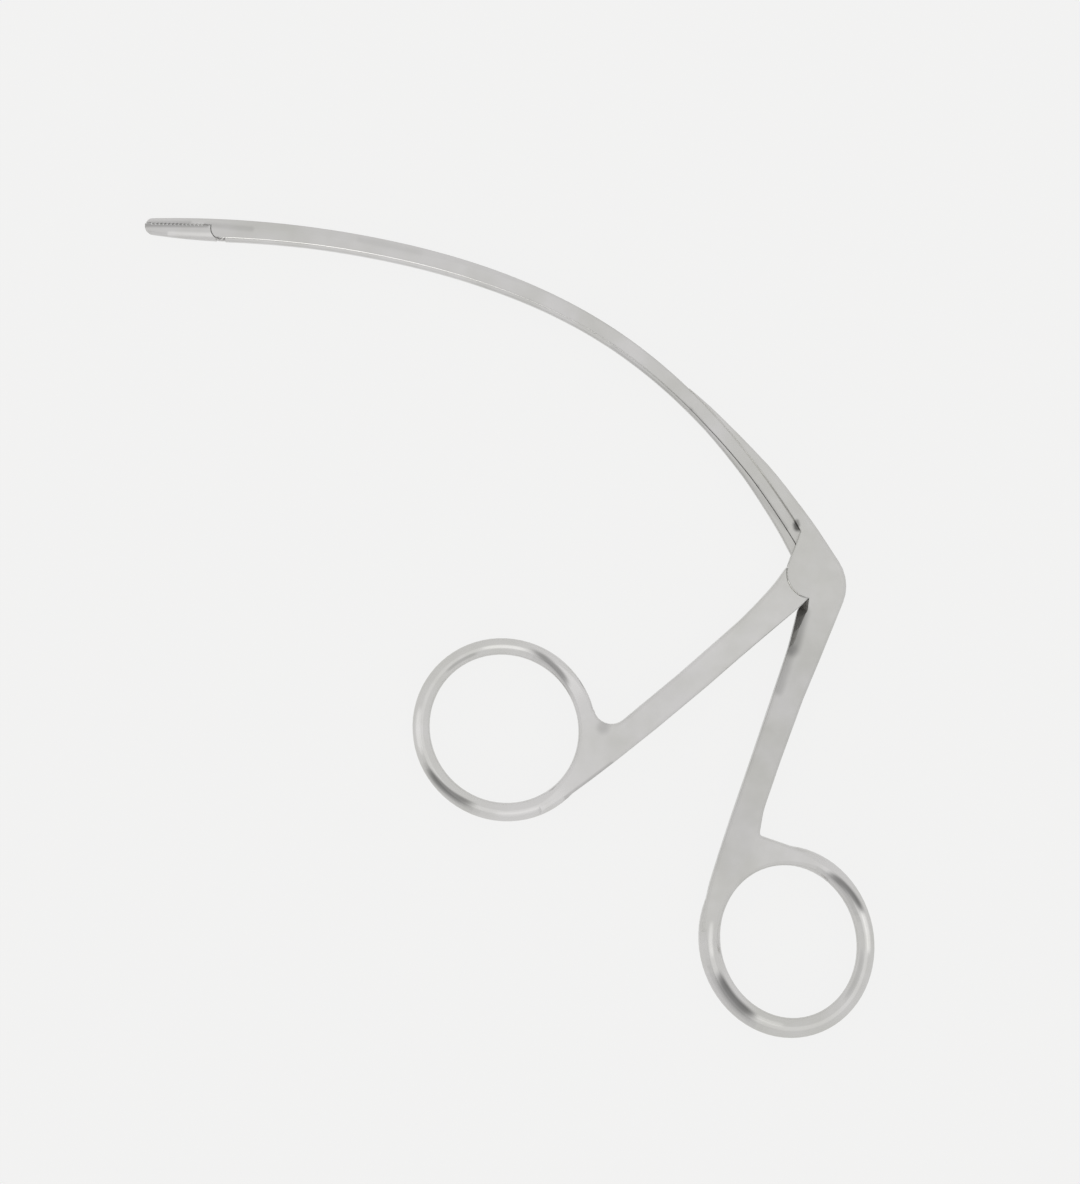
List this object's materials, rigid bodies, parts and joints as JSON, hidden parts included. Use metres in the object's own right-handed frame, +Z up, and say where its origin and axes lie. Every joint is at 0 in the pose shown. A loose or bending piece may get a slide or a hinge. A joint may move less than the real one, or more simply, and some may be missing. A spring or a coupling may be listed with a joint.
{
  "type": "tendon pulling forceps",
  "caption": "Tendon pulling forceps: a slender curved channel shaft with a serrated jaw at its tip, driven by a slider and two ring handles.",
  "frame": {"origin": "centre of the bounding box in plan, on the plane that the head and both finger rings rest on", "axes": "+X from the jaws towards the pivot, +Y from the rings towards the jaws, +Z up, square to the instrument's flat side"},
  "size_m": [0.113, 0.127, 0.0044],
  "materials": {
    "satin_steel": "satin",
    "pin_steel": "satin"
  },
  "bodies": {
    "back": {"back_handle": "satin_steel", "shaft": "satin_steel", "pivot_screw": "pin_steel", "jaw_pin": "pin_steel", "guide_rivet_front": "pin_steel", "guide_rivet_middle": "pin_steel", "guide_rivet_rear": "pin_steel"},
    "front": {"front_handle": "satin_steel"},
    "drive": {"slider": "satin_steel"},
    "jaw": {"moving_jaw": "satin_steel", "link_pin": "pin_steel"}
  },
  "joints": [
    {"name": "handle_hinge", "type": "hinge", "parent": "back", "child": "front", "pos_m": [0.04684, 0.00856, 0.0022], "axis": [0, 0, -1], "range_deg": [0, 18]},
    {"name": "slider_travel", "type": "hinge", "parent": "back", "child": "drive", "pos_m": [-0.04084, -0.0373, 0.0022], "axis": [0, 0, -1], "range_deg": [0, 0.442]},
    {"name": "jaw_hinge", "type": "hinge", "parent": "back", "child": "jaw", "pos_m": [-0.04447, 0.06193, 0.0022], "axis": [0, 0, 1], "range_deg": [0, 35]}
  ],
  "couplings": [
    {"joint": "slider_travel", "follows": "handle_hinge", "ratio": 0.02455},
    {"joint": "jaw_hinge", "follows": "handle_hinge", "ratio": 1.9444}
  ]
}
